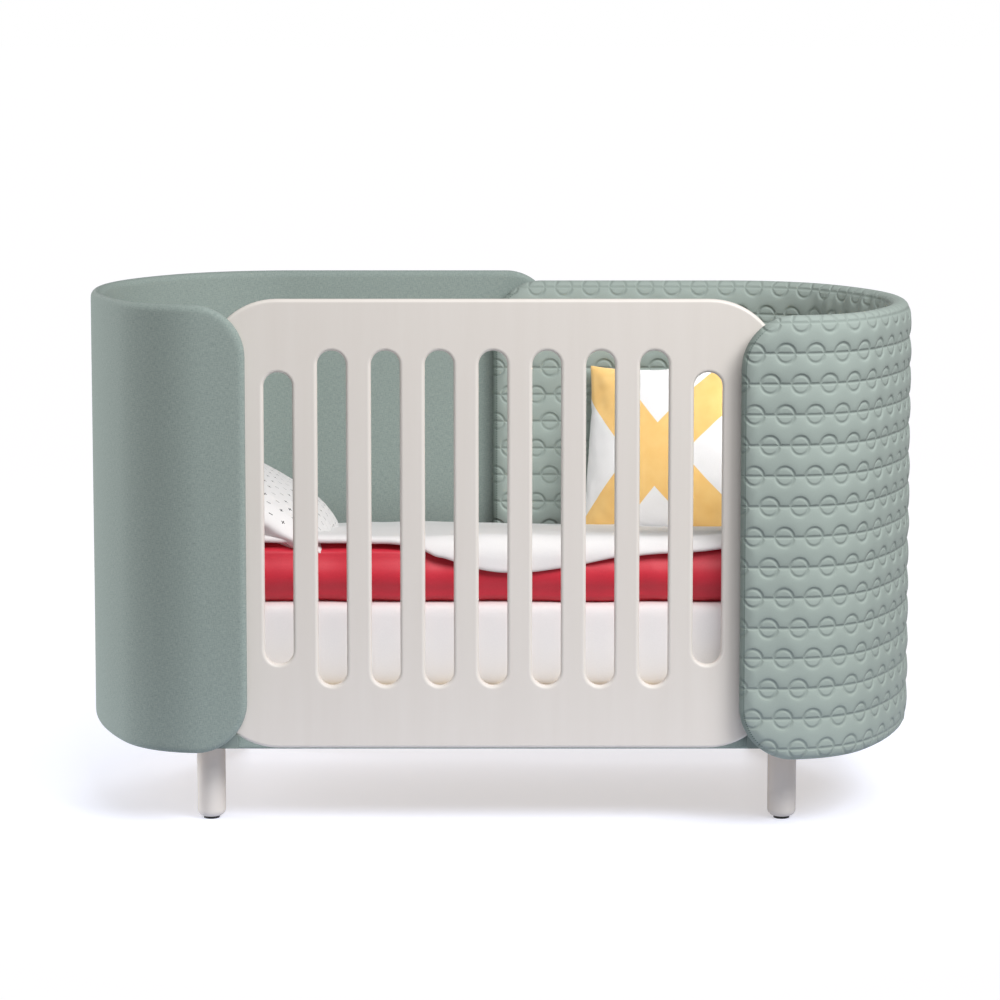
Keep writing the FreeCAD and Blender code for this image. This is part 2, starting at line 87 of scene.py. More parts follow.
def maths(material, operation, *values, **settings):
    # One sum on numbers or sockets; gives the socket with the answer
    node = addNode(material, "ShaderNodeMath", dict(enumerate(values)), operation=operation, **settings)
    return node.outputs[0]


def blend(material, share, low, high):
    # A colour between low and high by share, 0 to 1
    return addNode(material, "ShaderNodeMix", {0: share, 6: low, 7: high}, data_type="RGBA").outputs[2]


def newMaterial(name, values):
    # A principled material with its fixed values set on the shader's own sockets
    material = bpy.data.materials.new(name)
    material.use_nodes = True
    shader = material.node_tree.nodes["Principled BSDF"]
    for socket, value in values.items():
        shader.inputs[socket].default_value = value
    return material


def plug(material, **links):
    # Links finished sockets into the material's shader
    shader = material.node_tree.nodes["Principled BSDF"]
    for name, socket in links.items():
        material.node_tree.links.new(socket, shader.inputs[name.replace("_", " ")])


def meshPiece(name, points, faces, uv=None):
    mesh = bpy.data.meshes.new(name)
    mesh.from_pydata(points, [], faces)
    if uv is not None:
        layer = mesh.uv_layers.new(name="cloth")
        corners = np.empty(len(mesh.loops), dtype=np.int32)
        mesh.loops.foreach_get("vertex_index", corners)
        layer.data.foreach_set("uv", np.asarray(uv, dtype=np.float32)[corners].ravel())
    mesh.polygons.foreach_set("use_smooth", [True] * len(mesh.polygons))
    mesh.update()
    piece = bpy.data.objects.new(name, mesh)
    bpy.context.scene.collection.objects.link(piece)
    return piece


def gridFaces(columns, rows, start=0, flip=False):
    faces = []
    for i in range(columns - 1):
        for j in range(rows - 1):
            a = start + i * rows + j
            quad = (a, a + rows, a + rows + 1, a + 1)
            faces.append(quad[::-1] if flip else quad)
    return faces


def takePlace(piece, body, slot, material, *nodes):
    # Hands a finished piece to its body, its CAD nodes and its material
    piece.data.materials.clear()
    piece.data.materials.append(material)
    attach(piece, body)
    if nodes:
        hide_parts(*nodes)


def applyAll(piece):
    # Bakes every modifier into the piece's own mesh
    graph = bpy.context.evaluated_depsgraph_get()
    mesh = bpy.data.meshes.new_from_object(piece.evaluated_get(graph), depsgraph=graph)
    piece.modifiers.clear()
    old = piece.data
    piece.data = mesh
    bpy.data.meshes.remove(old)


def drift(values, seed, size):
    # Smooth random heights, about -1 to 1, at points given in metres; size is the wavelength
    shift = Vector((seed * 13.7, seed * 7.3, seed * 3.1))
    return np.array([noise.noise(Vector(v) / size + shift) for v in values])


def smoothStep(x, low, high):
    t = np.clip((x - low) / (high - low), 0, 1)
    return t * t * (3 - 2 * t)


# Cloth materials

def weave(material, vector, pitch, strength, slub):
    # Warp and weft threads as crossed ridges with uneven, slubby yarn; gives the surface normal.
    # Real threads lie 0.3 to 0.6 mm apart: the pitches given here are coarser, so that they show.
    # A band wave's period is pi / 10 of its scale, so the scale comes from the thread pitch.
    scale = math.pi / 10 / pitch
    warp = addNode(material, "ShaderNodeTexWave", {"Vector": vector, "Scale": scale, "Distortion": 1.2,
                   "Detail Scale": 2.0}, bands_direction="X")
    weft = addNode(material, "ShaderNodeTexWave", {"Vector": vector, "Scale": scale, "Distortion": 1.2,
                   "Detail Scale": 2.0}, bands_direction="Y")
    cross = maths(material, "ADD", warp.outputs["Fac"], weft.outputs["Fac"])
    yarn = addNode(material, "ShaderNodeTexNoise", {"Vector": vector, "Scale": 1 / slub, "Detail": 6.0,
                   "Roughness": 0.7})
    height = maths(material, "MULTIPLY_ADD", cross, 0.25, yarn.outputs["Fac"])
    bump = addNode(material, "ShaderNodeBump", {"Height": height, "Strength": strength, "Distance": 0.4 * mm})
    return bump.outputs["Normal"], yarn.outputs["Fac"]


def linenWeave():
    # Woven polyester linen: matt, a fine heathered fleck in the yarn, slight sheen at grazing angles
    look = {"dark": "#84928d", "light": "#a5b1ac", "thread": 1.1 * mm, "slub": 2.2 * mm}
    material = newMaterial("linenWeave", {"Roughness": 0.92, "Sheen Weight": 0.12, "Sheen Roughness": 0.4,
                           "Sheen Tint": hexColour("#f2f2f0"), "IOR": 1.5, "Specular IOR Level": 0.2})
    place = addNode(material, "ShaderNodeUVMap", uv_map="cloth").outputs[0]
    normal, yarn = weave(material, place, look["thread"], 0.5, look["slub"])
    stretched = addNode(material, "ShaderNodeMapping", {"Vector": place, "Scale": (120, 900, 1)})
    fleck = addNode(material, "ShaderNodeTexNoise", {"Vector": stretched.outputs[0], "Scale": 1.0,
                    "Detail": 3.0})
    upright = addNode(material, "ShaderNodeMapping", {"Vector": place, "Scale": (900, 120, 1)})
    fleckUp = addNode(material, "ShaderNodeTexNoise", {"Vector": upright.outputs[0], "Scale": 1.0,
                      "Detail": 3.0})
    flecks = maths(material, "ADD", fleck.outputs["Fac"], fleckUp.outputs["Fac"])
    mix = maths(material, "ADD", flecks, yarn)
    share = addNode(material, "ShaderNodeMapRange", {"Value": mix, "From Min": 1.1, "From Max": 1.9})
    colour = blend(material, share.outputs[0], hexColour(look["dark"]), hexColour(look["light"]))
    plug(material, Base_Color=colour, Normal=normal)
    return material


quilt = {
    "pitch": 52.2 * mm,        # between rows, and between circles along a row
    "circle": 15.6 * mm,       # radius of a stitched circle
    "firstRow": 64.0 * mm,     # below the top edge
    "firstCircle": 21.0 * mm,  # from the lip
    "puff": 4.0 * mm,          # rise of the wadding midway between two rows
    "softness": 7.0 * mm,      # how fast it rises from a row of stitches
    "tuck": 2.6 * mm,          # how wide a stitched circle pulls it in
    "hem": 7.0 * mm,           # from the edge to its line of stitches
    "seam": 1.5 * mm,          # how deep that line pulls in
    "loose": 1.3 * mm,         # unevenness all over
    "ruckle": 4.0 * mm,        # upright folds inside the bend
    "inset": 3.5 * mm,         # keeps the tops of the puffs inside the CAD solid
    "thread": 1.1 * mm,
}


def quiltedCotton(rowHeight):
    # Brushed cotton over wadding: soft matt face, with painted shade along every line of stitches: the
    # pulled-in crease is coloured darker, standing in for its shade
    look = {"dark": "#9ca8a2", "light": "#aab6b0", "stitch": "#6f7f78", "hem": "#41584f", "thread": 0.9 * mm,
            "slub": 2.4 * mm, "stitchLength": 3.4 * mm}
    material = newMaterial("quiltedCotton", {"Roughness": 0.85, "Sheen Weight": 0.15, "Sheen Roughness": 0.35,
                           "Sheen Tint": hexColour("#f2f2f0"), "IOR": 1.5, "Specular IOR Level": 0.25})
    place = addNode(material, "ShaderNodeUVMap", uv_map="cloth").outputs[0]
    normal, yarn = weave(material, place, look["thread"], 0.35, look["slub"])
    axes = addNode(material, "ShaderNodeSeparateXYZ", {0: place})
    # height above the nearest row, and the row's own half-pitch stagger
    fromRow = maths(material, "ADD", axes.outputs[1], -rowHeight)
    rowShare = maths(material, "DIVIDE", fromRow, quilt["pitch"])
    row = maths(material, "ROUND", rowShare)
    rise = maths(material, "MULTIPLY_ADD", row, -quilt["pitch"], fromRow)
    odd = maths(material, "FLOORED_MODULO", row, 2.0)
    along = maths(material, "MULTIPLY_ADD", odd, -quilt["pitch"] / 2, axes.outputs[0])
    shifted = maths(material, "ADD", along, -quilt["firstCircle"])
    share = maths(material, "DIVIDE", shifted, quilt["pitch"])
    nearest = maths(material, "ROUND", share)
    side = maths(material, "MULTIPLY_ADD", nearest, -quilt["pitch"], shifted)
    pair = addNode(material, "ShaderNodeCombineXYZ", {0: side, 1: rise})
    radius = addNode(material, "ShaderNodeVectorMath", {0: pair.outputs[0]}, operation="LENGTH")
    fromRing = maths(material, "ADD", radius.outputs["Value"], -quilt["circle"])
    ring = maths(material, "ABSOLUTE", fromRing)
    line = maths(material, "ABSOLUTE", rise)
    gap = maths(material, "MINIMUM", ring, line)
    # painted shade: within 1.8 mm of each row of stitches and each circle the cloth is coloured toward the
    # darker stitch colour, as the crease's shade
    seam = addNode(material, "ShaderNodeMapRange", {"Value": gap, "From Min": 0.3 * mm,
                   "From Max": 1.8 * mm, "To Min": 1.0, "To Max": 0.0}, interpolation_type="SMOOTHSTEP")
    tone = blend(material, yarn, hexColour(look["dark"]), hexColour(look["light"]))
    sewn = maths(material, "MULTIPLY", seam.outputs[0], 0.2)
    creaseShaded = blend(material, sewn, tone, hexColour(look["stitch"]))
    # the upright edges have a line of stitches, with a darker tape between it and the edge
    depth = addNode(material, "ShaderNodeAttribute", attribute_name="depth")
    upright = addNode(material, "ShaderNodeAttribute", attribute_name="upright")
    fromHem = maths(material, "ADD", depth.outputs["Fac"], -quilt["hem"])
    offHem = maths(material, "ABSOLUTE", fromHem)
    hem = addNode(material, "ShaderNodeMapRange", {"Value": offHem, "From Min": quilt["thread"] / 2,
                  "From Max": quilt["thread"], "To Min": 0.85, "To Max": 0.0})
    tape = addNode(material, "ShaderNodeMapRange", {"Value": fromHem, "From Min": -mm,
                   "From Max": 0.0, "To Min": 0.3, "To Max": 0.0})
    dash = maths(material, "MULTIPLY", axes.outputs[1], 2 * math.pi / look["stitchLength"])
    wave = maths(material, "SINE", dash)
    dashes = addNode(material, "ShaderNodeMapRange", {"Value": wave, "From Min": -0.3, "From Max": 0.3})
    sewnHem = maths(material, "MULTIPLY_ADD", hem.outputs[0], dashes.outputs[0], tape.outputs[0],
                    use_clamp=True)
    hemmed = maths(material, "MULTIPLY", sewnHem, upright.outputs["Fac"])
    colour = blend(material, hemmed, creaseShaded, hexColour(look["hem"]))
    dip = addNode(material, "ShaderNodeMapRange", {"Value": gap, "From Max": 4.5 * mm},
                  interpolation_type="SMOOTHSTEP")
    groove = addNode(material, "ShaderNodeBump", {"Height": dip.outputs[0], "Strength": 1.0,
                     "Distance": 1.7 * mm, "Normal": normal})
    plug(material, Base_Color=colour, Normal=groove.outputs[0])
    return material


def percale(name, thread):
    # Bleached cotton percale: crisp plain weave, near-white, a faint sheen at grazing angles
    material = newMaterial(name, {"Roughness": 0.85, "Sheen Weight": 0.25, "Sheen Roughness": 0.5, "IOR": 1.5,
                           "Specular IOR Level": 0.3})
    place = addNode(material, "ShaderNodeTexCoord").outputs["Object"]
    normal, yarn = weave(material, place, thread, 0.2, 2.0 * mm)
    colour = blend(material, yarn, hexColour("#e2e0e1"), hexColour("#edecec"))
    plug(material, Base_Color=colour, Normal=normal)
    return material


def redSateen():
    # Dyed cotton sateen: deep red, smooth floats that catch a soft highlight on each fold
    material = newMaterial("redSateen", {"Roughness": 0.5, "Sheen Weight": 0.5, "Sheen Roughness": 0.3,
                           "Sheen Tint": hexColour("#ff9a9a"), "IOR": 1.5, "Specular IOR Level": 0.45})
    place = addNode(material, "ShaderNodeTexCoord").outputs["Object"]
    normal, yarn = weave(material, place, 0.8 * mm, 0.25, 2.0 * mm)
    colour = blend(material, yarn, hexColour("#c12639"), hexColour("#d73546"))
    plug(material, Base_Color=colour, Normal=normal)
    return material


def crossedPercale():
    # White percale printed with small dark strokes and crosses, alternate rows staggered
    look = {"cell": 24.0 * mm, "arm": 3.6 * mm, "line": 0.8 * mm, "ink": "#33363a"}
    material = percale("crossedPercale", 0.8 * mm)
    shader = material.node_tree.nodes["Principled BSDF"]
    white = shader.inputs["Base Color"].links[0].from_socket
    place = addNode(material, "ShaderNodeUVMap", uv_map="cloth").outputs[0]
    axes = addNode(material, "ShaderNodeSeparateXYZ", {0: place})
    rowShare = maths(material, "DIVIDE", axes.outputs[1], look["cell"])
    row = maths(material, "ROUND", rowShare)
    rise = maths(material, "MULTIPLY_ADD", row, -look["cell"], axes.outputs[1])
    odd = maths(material, "FLOORED_MODULO", row, 2.0)
    along = maths(material, "MULTIPLY_ADD", odd, look["cell"] / 2, axes.outputs[0])
    share = maths(material, "DIVIDE", along, look["cell"])
    column = maths(material, "ROUND", share)
    side = maths(material, "MULTIPLY_ADD", column, -look["cell"], along)
    across = maths(material, "ABSOLUTE", side)
    above = maths(material, "ABSOLUTE", rise)
    flatWide = maths(material, "LESS_THAN", across, look["arm"])
    flatThin = maths(material, "LESS_THAN", above, look["line"])
    stroke = maths(material, "MULTIPLY", flatWide, flatThin)
    tallWide = maths(material, "LESS_THAN", above, look["arm"])
    tallThin = maths(material, "LESS_THAN", across, look["line"])
    upright = maths(material, "MULTIPLY", tallWide, tallThin)
    crossed = maths(material, "FLOORED_MODULO", column, 2.0)
    armed = maths(material, "MULTIPLY", upright, crossed)
    ink = maths(material, "MAXIMUM", stroke, armed)
    colour = blend(material, ink, white, hexColour(look["ink"]))
    plug(material, Base_Color=colour)
    return material


def yellowCrossCanvas():
    # White cotton canvas with a broad yellow cross from corner to corner, printed flat in uneven dye
    look = {"halfArm": 62.0 * mm, "yellow": "#f1cb84", "deep": "#e9b767", "across": 14.0 * mm,
            "below": 14.0 * mm}
    material = percale("yellowCrossCanvas", 1.0 * mm)
    shader = material.node_tree.nodes["Principled BSDF"]
    white = shader.inputs["Base Color"].links[0].from_socket
    place = addNode(material, "ShaderNodeUVMap", uv_map="cloth").outputs[0]
    middle = addNode(material, "ShaderNodeVectorMath", {0: place, 1: (-look["across"], look["below"], 0)})
    axes = addNode(material, "ShaderNodeSeparateXYZ", {0: middle.outputs[0]})
    across = maths(material, "ABSOLUTE", axes.outputs[0])
    above = maths(material, "ABSOLUTE", axes.outputs[1])
    offArm = maths(material, "SUBTRACT", across, above)
    gap = maths(material, "ABSOLUTE", offArm)
    arm = addNode(material, "ShaderNodeMapRange", {"Value": gap, "From Min": look["halfArm"] - mm / 2,
                  "From Max": look["halfArm"] + mm / 2, "To Min": 1.0, "To Max": 0.0})
    dye = addNode(material, "ShaderNodeTexNoise", {"Vector": place, "Scale": 30.0, "Detail": 4.0})
    yellow = blend(material, dye.outputs["Fac"], hexColour(look["yellow"]), hexColour(look["deep"]))
    colour = blend(material, arm.outputs[0], white, yellow)
    plug(material, Base_Color=colour)
    return material


# Hard materials

def satinLacquer():
    # Sprayed satin lacquer on beech board: warm light grey, faint roller texture, and a painted highlight:
    # the rounded edges are coloured paler, standing in for the light they catch
    look = {"base": "#e9e3dd", "shade": "#e2dbd4", "paintedHighlight": "#fffaf3", "texture": 1.6 * mm, "edge": 2.5 * mm}
    material = newMaterial("satinLacquer", {"Roughness": 0.42, "IOR": 1.5, "Specular IOR Level": 0.4,
                           "Coat Weight": 0.15, "Coat Roughness": 0.3})
    place = addNode(material, "ShaderNodeTexCoord").outputs["Object"]
    grain = addNode(material, "ShaderNodeMapping", {"Vector": place, "Scale": (40, 40, 3)})
    tone = addNode(material, "ShaderNodeTexNoise", {"Vector": grain.outputs[0], "Scale": 1.0, "Detail": 5.0})
    colour = blend(material, tone.outputs["Fac"], hexColour(look["base"]), hexColour(look["shade"]))
    # painted highlight: where the bevelled normal turns away from the flat face, the colour goes toward a
    # near-white cream
    rounded = addNode(material, "ShaderNodeBevel", {"Radius": look["edge"]}, samples=4)
    plain = addNode(material, "ShaderNodeNewGeometry").outputs["Normal"]
    agree = addNode(material, "ShaderNodeVectorMath", {0: rounded.outputs[0], 1: plain},
                    operation="DOT_PRODUCT")
    highlightShare = addNode(material, "ShaderNodeMapRange", {"Value": agree.outputs["Value"], "From Min": 0.999,
                  "From Max": 0.97})
    highlighted = blend(material, highlightShare.outputs[0], colour, hexColour(look["paintedHighlight"]))
    peel = addNode(material, "ShaderNodeTexNoise", {"Vector": place, "Scale": 1 / look["texture"],
                   "Detail": 2.0})
    bump = addNode(material, "ShaderNodeBump", {"Height": peel.outputs["Fac"], "Strength": 0.12,
                   "Distance": 0.1 * mm})
    gloss = addNode(material, "ShaderNodeMapRange", {"Value": tone.outputs["Fac"], "To Min": 0.36,
                    "To Max": 0.48})
    plug(material, Base_Color=highlighted, Roughness=gloss.outputs[0], Normal=bump.outputs[0])
    return material


def sealedWood(name, light, dark, ring, stretch):
    # Planed and sealed timber: stretched growth rings along the board and fine pores
    material = newMaterial(name, {"Roughness": 0.5, "IOR": 1.5, "Specular IOR Level": 0.35})
    place = addNode(material, "ShaderNodeTexCoord").outputs["Object"]
    along = addNode(material, "ShaderNodeMapping", {"Vector": place, "Scale": stretch})
    rings = addNode(material, "ShaderNodeTexWave", {"Vector": along.outputs[0], "Scale": math.pi / 10 / ring,
                    "Distortion": 6.0, "Detail": 3.0, "Detail Scale": 1.5})
    pores = addNode(material, "ShaderNodeTexNoise", {"Vector": along.outputs[0], "Scale": 900.0,
                    "Detail": 4.0})
    colour = blend(material, rings.outputs["Fac"], hexColour(light), hexColour(dark))
    bump = addNode(material, "ShaderNodeBump", {"Height": pores.outputs["Fac"], "Strength": 0.2,
                   "Distance": 0.15 * mm})
    rough = addNode(material, "ShaderNodeMapRange", {"Value": pores.outputs["Fac"], "To Min": 0.42,
                    "To Max": 0.6})
    plug(material, Base_Color=colour, Roughness=rough.outputs[0], Normal=bump.outputs[0])
    return material


def pressedFelt():
    # Needled wool felt: dark, matt, a tangle of short fibres
    material = newMaterial("pressedFelt", {"Roughness": 1.0, "Sheen Weight": 0.6, "IOR": 1.5})
    place = addNode(material, "ShaderNodeTexCoord").outputs["Object"]
    fibre = addNode(material, "ShaderNodeTexNoise", {"Vector": place, "Scale": 900.0, "Detail": 8.0,
                    "Distortion": 2.0})
    colour = blend(material, fibre.outputs["Fac"], hexColour("#2b2a2a"), hexColour("#4a4847"))
    bump = addNode(material, "ShaderNodeBump", {"Height": fibre.outputs["Fac"], "Strength": 0.6,
                   "Distance": 0.5 * mm})
    plug(material, Base_Color=colour, Normal=bump.outputs[0])
    return material


def mouldedNylon():
    # Injection-moulded nylon, dyed close to the covers, with a fine spark-eroded texture
    material = newMaterial("mouldedNylon", {"Roughness": 0.45, "IOR": 1.53})
    place = addNode(material, "ShaderNodeTexCoord").outputs["Object"]
    grit = addNode(material, "ShaderNodeTexNoise", {"Vector": place, "Scale": 1600.0, "Detail": 3.0})
    colour = blend(material, grit.outputs["Fac"], hexColour("#84918c"), hexColour("#919d98"))
    bump = addNode(material, "ShaderNodeBump", {"Height": grit.outputs["Fac"], "Strength": 0.25,
                   "Distance": 0.1 * mm})
    plug(material, Base_Color=colour, Normal=bump.outputs[0])
    return material


def drawnMetal(name, light, dark, roughness, stretch):
    # Bare metal with lines along the way it was drawn, brushed or plated
    material = newMaterial(name, {"Metallic": 1.0, "Roughness": roughness})
    place = addNode(material, "ShaderNodeTexCoord").outputs["Object"]
    along = addNode(material, "ShaderNodeMapping", {"Vector": place, "Scale": stretch})
    lines = addNode(material, "ShaderNodeTexNoise", {"Vector": along.outputs[0], "Scale": 1.0, "Detail": 4.0})
    colour = blend(material, lines.outputs["Fac"], hexColour(light), hexColour(dark))
    spread = addNode(material, "ShaderNodeMapRange", {"Value": lines.outputs["Fac"],
                     "To Min": roughness - 0.08, "To Max": roughness + 0.12})
    bump = addNode(material, "ShaderNodeBump", {"Height": lines.outputs["Fac"], "Strength": 0.15,
                   "Distance": 0.05 * mm})
    plug(material, Base_Color=colour, Roughness=spread.outputs[0], Normal=bump.outputs[0])
    return material


# Half-shells: a flat rounded rectangle of padded wall, bent along the oval plan

gateLow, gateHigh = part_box("gate_panel")
lipOverlap = 72.0 * mm


def shellFrom(node, side, values):
    low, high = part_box(node)
    shell = dict(values, side=side, front=low.y, back=high.y, bottom=low.z, top=high.z)
    shell["lip"] = -(gateLow.x + lipOverlap) if side < 0 else gateHigh.x - lipOverlap
    shell["end"] = -high.x if side < 0 else low.x
    return shell


leftShell = shellFrom("left_shell_cover", -1, {"wall": 24.0 * mm, "corner": 90.0 * mm, "reach": (230.0 * mm,
    340.0 * mm), "radius": (168.0 * mm, 300.0 * mm), "rim": 13.0 * mm, "rimPower": 2.2, "mesh": 8.0 * mm})
rightShell = shellFrom("quilted_cover", 1, {"wall": 42.0 * mm, "corner": 92.0 * mm, "reach": (256.0 * mm,
    300.0 * mm), "radius": (190.0 * mm, 250.0 * mm), "rim": 24.0 * mm, "rimPower": 2.0, "mesh": 4.1 * mm})


def planRuns(shell):
    # The wall's middle line as straight and round runs, from the lip round the end to the back edge
    half = (shell["back"] - shell["front"]) / 2
    middle = (shell["back"] + shell["front"]) / 2
    inset = shell["wall"] / 2
    wides = []
    meets = []
    for reach, radius in zip(shell["reach"], shell["radius"]):
        wide = (reach ** 2 + (half - radius) ** 2 - radius ** 2) / (2 * (reach - radius))
        wides.append(wide)
        meets.append(math.atan2(half - radius, wide - reach))
    frontX, backX = (halfLength - reach for reach in shell["reach"])
    frontR, backR = shell["radius"]
    return [
        ("line", (shell["lip"], shell["front"] + inset), 1, frontX - shell["lip"]),
        ("arc", (frontX, shell["front"] + frontR), frontR - inset, (-math.pi / 2, -meets[0])),
        ("arc", (halfLength - wides[0], middle), wides[0] - inset, (-meets[0], 0)),
        ("arc", (halfLength - wides[1], middle), wides[1] - inset, (0, meets[1])),
        ("arc", (backX, shell["back"] - backR), backR - inset, (meets[1], math.pi / 2)),
        ("line", (backX, shell["back"] - inset), -1, backX - shell["end"]),
    ]


def runLength(run):
    return run[3] if run[0] == "line" else run[2] * (run[3][1] - run[3][0])


def onPlan(shell, runs, s):
    # Point, outward normal and face lengths (outer, inner) at distance s along the middle line
    outer = inner = 0.0
    half = shell["wall"] / 2
    for index, run in enumerate(runs):
        length = runLength(run)
        last = index == len(runs) - 1
        part = s if last else min(s, length)
        grow = 0.0 if run[0] == "line" else half / run[2]
        outer += part * (1 + grow)
        inner += part * (1 - grow)
        if s <= length or last:
            break
        s -= length
    if run[0] == "line":
        x, y = run[1][0] + run[2] * s, run[1][1]
        normal = (0.0, -1.0 if run[2] > 0 else 1.0)
    else:
        angle = run[3][0] + s / run[2]
        normal = (math.cos(angle), math.sin(angle))
        x, y = run[1][0] + run[2] * normal[0], run[1][1] + run[2] * normal[1]
    side = shell["side"]
    return (side * x, y), (side * normal[0], normal[1]), (outer, inner)


def edgeSpacing(length, step, rim):
    # Distances from 0 to length, close together inside the rounded rim at both ends
    near = [rim * (1 - math.cos(t * math.pi / 12)) for t in range(7)]
    count = max(2, round((length - 2 * rim) / step))
    middle = [rim + (length - 2 * rim) * i / count for i in range(1, count)]
    return np.array(near + middle + [length - d for d in reversed(near)])


def wallFaces(shell, relief):
    # Columns along the plan and rows up the wall; returns both faces as arrays with their cloth places.
    # relief(face, u, z, depth) gives how far the cloth stands out from the plain wall.
    runs = planRuns(shell)
    total = sum(runLength(run) for run in runs)
    corner = shell["corner"]
    height = shell["top"] - shell["bottom"]
    centre = np.array((total / 2, height / 2))
    faces = {"outer": [], "inner": []}
    cloth = {"outer": [], "inner": []}
    depths = []
    for s in edgeSpacing(total, shell["mesh"], shell["rim"]):
        (x, y), (nx, ny), lengths = onPlan(shell, runs, s)
        fromEnd = min(s, total - s)
        drop = corner - math.sqrt(corner ** 2 - (corner - fromEnd) ** 2) if fromEnd < corner else 0.0
        rows = edgeSpacing(height, shell["mesh"], shell["rim"])
        rows = drop + rows * (height - 2 * drop) / height
        # how far each row lies past the corner's centre, along the wall and up it
        past = np.stack([np.full_like(rows, abs(s - centre[0])), np.abs(rows - centre[1])])
        past -= centre[:, None] - corner
        depth = corner - np.hypot(*np.maximum(past, 0)) - np.minimum(past.max(axis=0), 0)
        depth = np.maximum(depth, 0)
        bulge = 1 - np.clip(depth / shell["rim"], 0, 1)
        thick = shell["wall"] / 2 * (1 - bulge ** shell["rimPower"]) ** (1 / shell["rimPower"])
        depths.append(depth)
        for face, way, u in (("outer", 1, lengths[0]), ("inner", -1, lengths[1])):
            z = shell["bottom"] + rows
            out = way * (thick + relief(face, u, z, depth, s, total) * smoothStep(depth, 0, shell["rim"]))
            faces[face].append(np.stack([x + nx * out, y + ny * out, z], axis=1))
            cloth[face].append(np.stack([np.full_like(z, u), z], axis=1))
    return faces, cloth, np.array(depths)


def leftRelief(face, u, z, depth, s, total):
    # Hand-stretched cloth over foam: long soft hollows, and a shallow dimple over each lap bolt
    points = np.stack([np.full_like(z, u), z * 0.6, np.zeros_like(z)], axis=1)
    soft = drift(points, 3 if face == "outer" else 5, 0.22) * 0.9 * mm
    if face == "outer" and s > total - 0.12:
        for bolt in lapBolts:
            reach = np.hypot(total - s - lapInset, z - bolt)
            soft -= 1.6 * mm * np.exp(-(reach / (12 * mm)) ** 2)
    return soft - 0.4 * mm


lapLow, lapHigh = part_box("lap_bolts")
lapInset = leftShell["end"] * -1 - (lapLow.x + lapHigh.x) / 2
lapHead = 9.0 * mm
lapBolts = (lapLow.z + lapHead, (lapLow.z + lapHigh.z) / 2, lapHigh.z - lapHead)

faces, cloth, depths = wallFaces(leftShell, leftRelief)
outer, inner = (np.array(faces[side]) for side in ("outer", "inner"))
columns, rows = outer.shape[:2]
points = np.concatenate([outer.reshape(-1, 3), inner.reshape(-1, 3)]).tolist()
uv = np.concatenate([np.array(cloth[side]).reshape(-1, 2) for side in ("outer", "inner")])
quads = gridFaces(columns, rows, 0, True) + gridFaces(columns, rows, columns * rows)
leftCover = meshPiece("leftShellCover", points, quads, uv)
joined = bmesh.new()
joined.from_mesh(leftCover.data)
bmesh.ops.remove_doubles(joined, verts=joined.verts, dist=0.01 * mm)
joined.to_mesh(leftCover.data)
joined.free()
linen = linenWeave()
takePlace(leftCover, "frame", "woven_cover", linen, "left_shell_cover")
print("left shell covered")

rowHeight = rightShell["top"] - quilt["firstRow"]


def quiltRelief(face, u, z, depth, s, total):
    # Wadding held down by rows of stitches and stitched circles, plus a sewn hem at both upright edges
    pitch = quilt["pitch"]
    row = np.round((z - rowHeight) / pitch)
    rise = z - rowHeight - row * pitch
    along = u - quilt["firstCircle"] - (row % 2) * pitch / 2
    side = along - np.round(along / pitch) * pitch
    away = np.hypot(side, rise)
    ring = np.abs(away - quilt["circle"])
    puff = quilt["puff"] * (1 - np.exp(-np.abs(rise) / quilt["softness"]))
    puff *= 1 - 0.5 * np.exp(-ring / quilt["tuck"])
    puff *= 0.6 + 0.4 * smoothStep(away, quilt["circle"] - quilt["tuck"], quilt["circle"] + 2 * quilt["tuck"])
    points = np.stack([np.full_like(z, u), z, np.zeros_like(z)], axis=1)
    loose = drift(points, 11 if face == "outer" else 17, 45 * mm) * quilt["loose"]
    if face == "inner":
        # the inner face is squeezed where the wall curves, so it ruckles upright near the rim
        bend = np.exp(-((s - total * 0.45) / (total * 0.2)) ** 2)
        tall = np.stack([np.full_like(z, u) / 0.35, z * 0.25, np.zeros_like(z)], axis=1)
        loose = loose + drift(tall, 23, 60 * mm) * bend * quilt["ruckle"] * (0.4 + smoothStep(z, 0.7, 0.88))
    hem = hemWeight(s, total)
    seam = np.exp(-((depth - quilt["hem"]) / (1.8 * mm)) ** 2) * hem * quilt["seam"]
    flat = 1 - hem * (1 - smoothStep(depth, quilt["hem"], quilt["hem"] * 3))
    return (puff + loose) * flat - seam - quilt["inset"]


def hemWeight(s, total):
    # 1 along the upright edges, fading out where the corner turns into the rolled rim
    return 1 - float(smoothStep(np.array(min(s, total - s)), 20 * mm, 60 * mm))


cotton = quiltedCotton(rowHeight)
faces, cloth, depths = wallFaces(rightShell, quiltRelief)
runTotal = sum(runLength(run) for run in planRuns(rightShell))
spacing = edgeSpacing(runTotal, rightShell["mesh"], rightShell["rim"])
weights = np.array([hemWeight(s, runTotal) for s in spacing])
uprights = np.broadcast_to(weights[:, None], depths.shape)
for face, name, flip in (("outer", "quiltOutside", False), ("inner", "quiltInside", True)):
    grid = np.array(faces[face])
    columns, rows = grid.shape[:2]
    piece = meshPiece(name, grid.reshape(-1, 3).tolist(), gridFaces(columns, rows, 0, flip),
                      np.array(cloth[face]).reshape(-1, 2))
    for label, values in (("depth", depths), ("upright", uprights)):
        layer = piece.data.attributes.new(label, "FLOAT", "POINT")
        layer.data.foreach_set("value", values.ravel().astype(np.float32))
    takePlace(piece, "frame", "quilted_cover", cotton, "quilted_cover", "right_shell_padding")
print("right shell quilted")


# Cloth strip stretched over the front of the base

stripLow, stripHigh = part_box("front_rail_cover")
strip = {"round": 5.0 * mm, "thick": 1.6 * mm, "step": 12.0 * mm, "turn": 8}


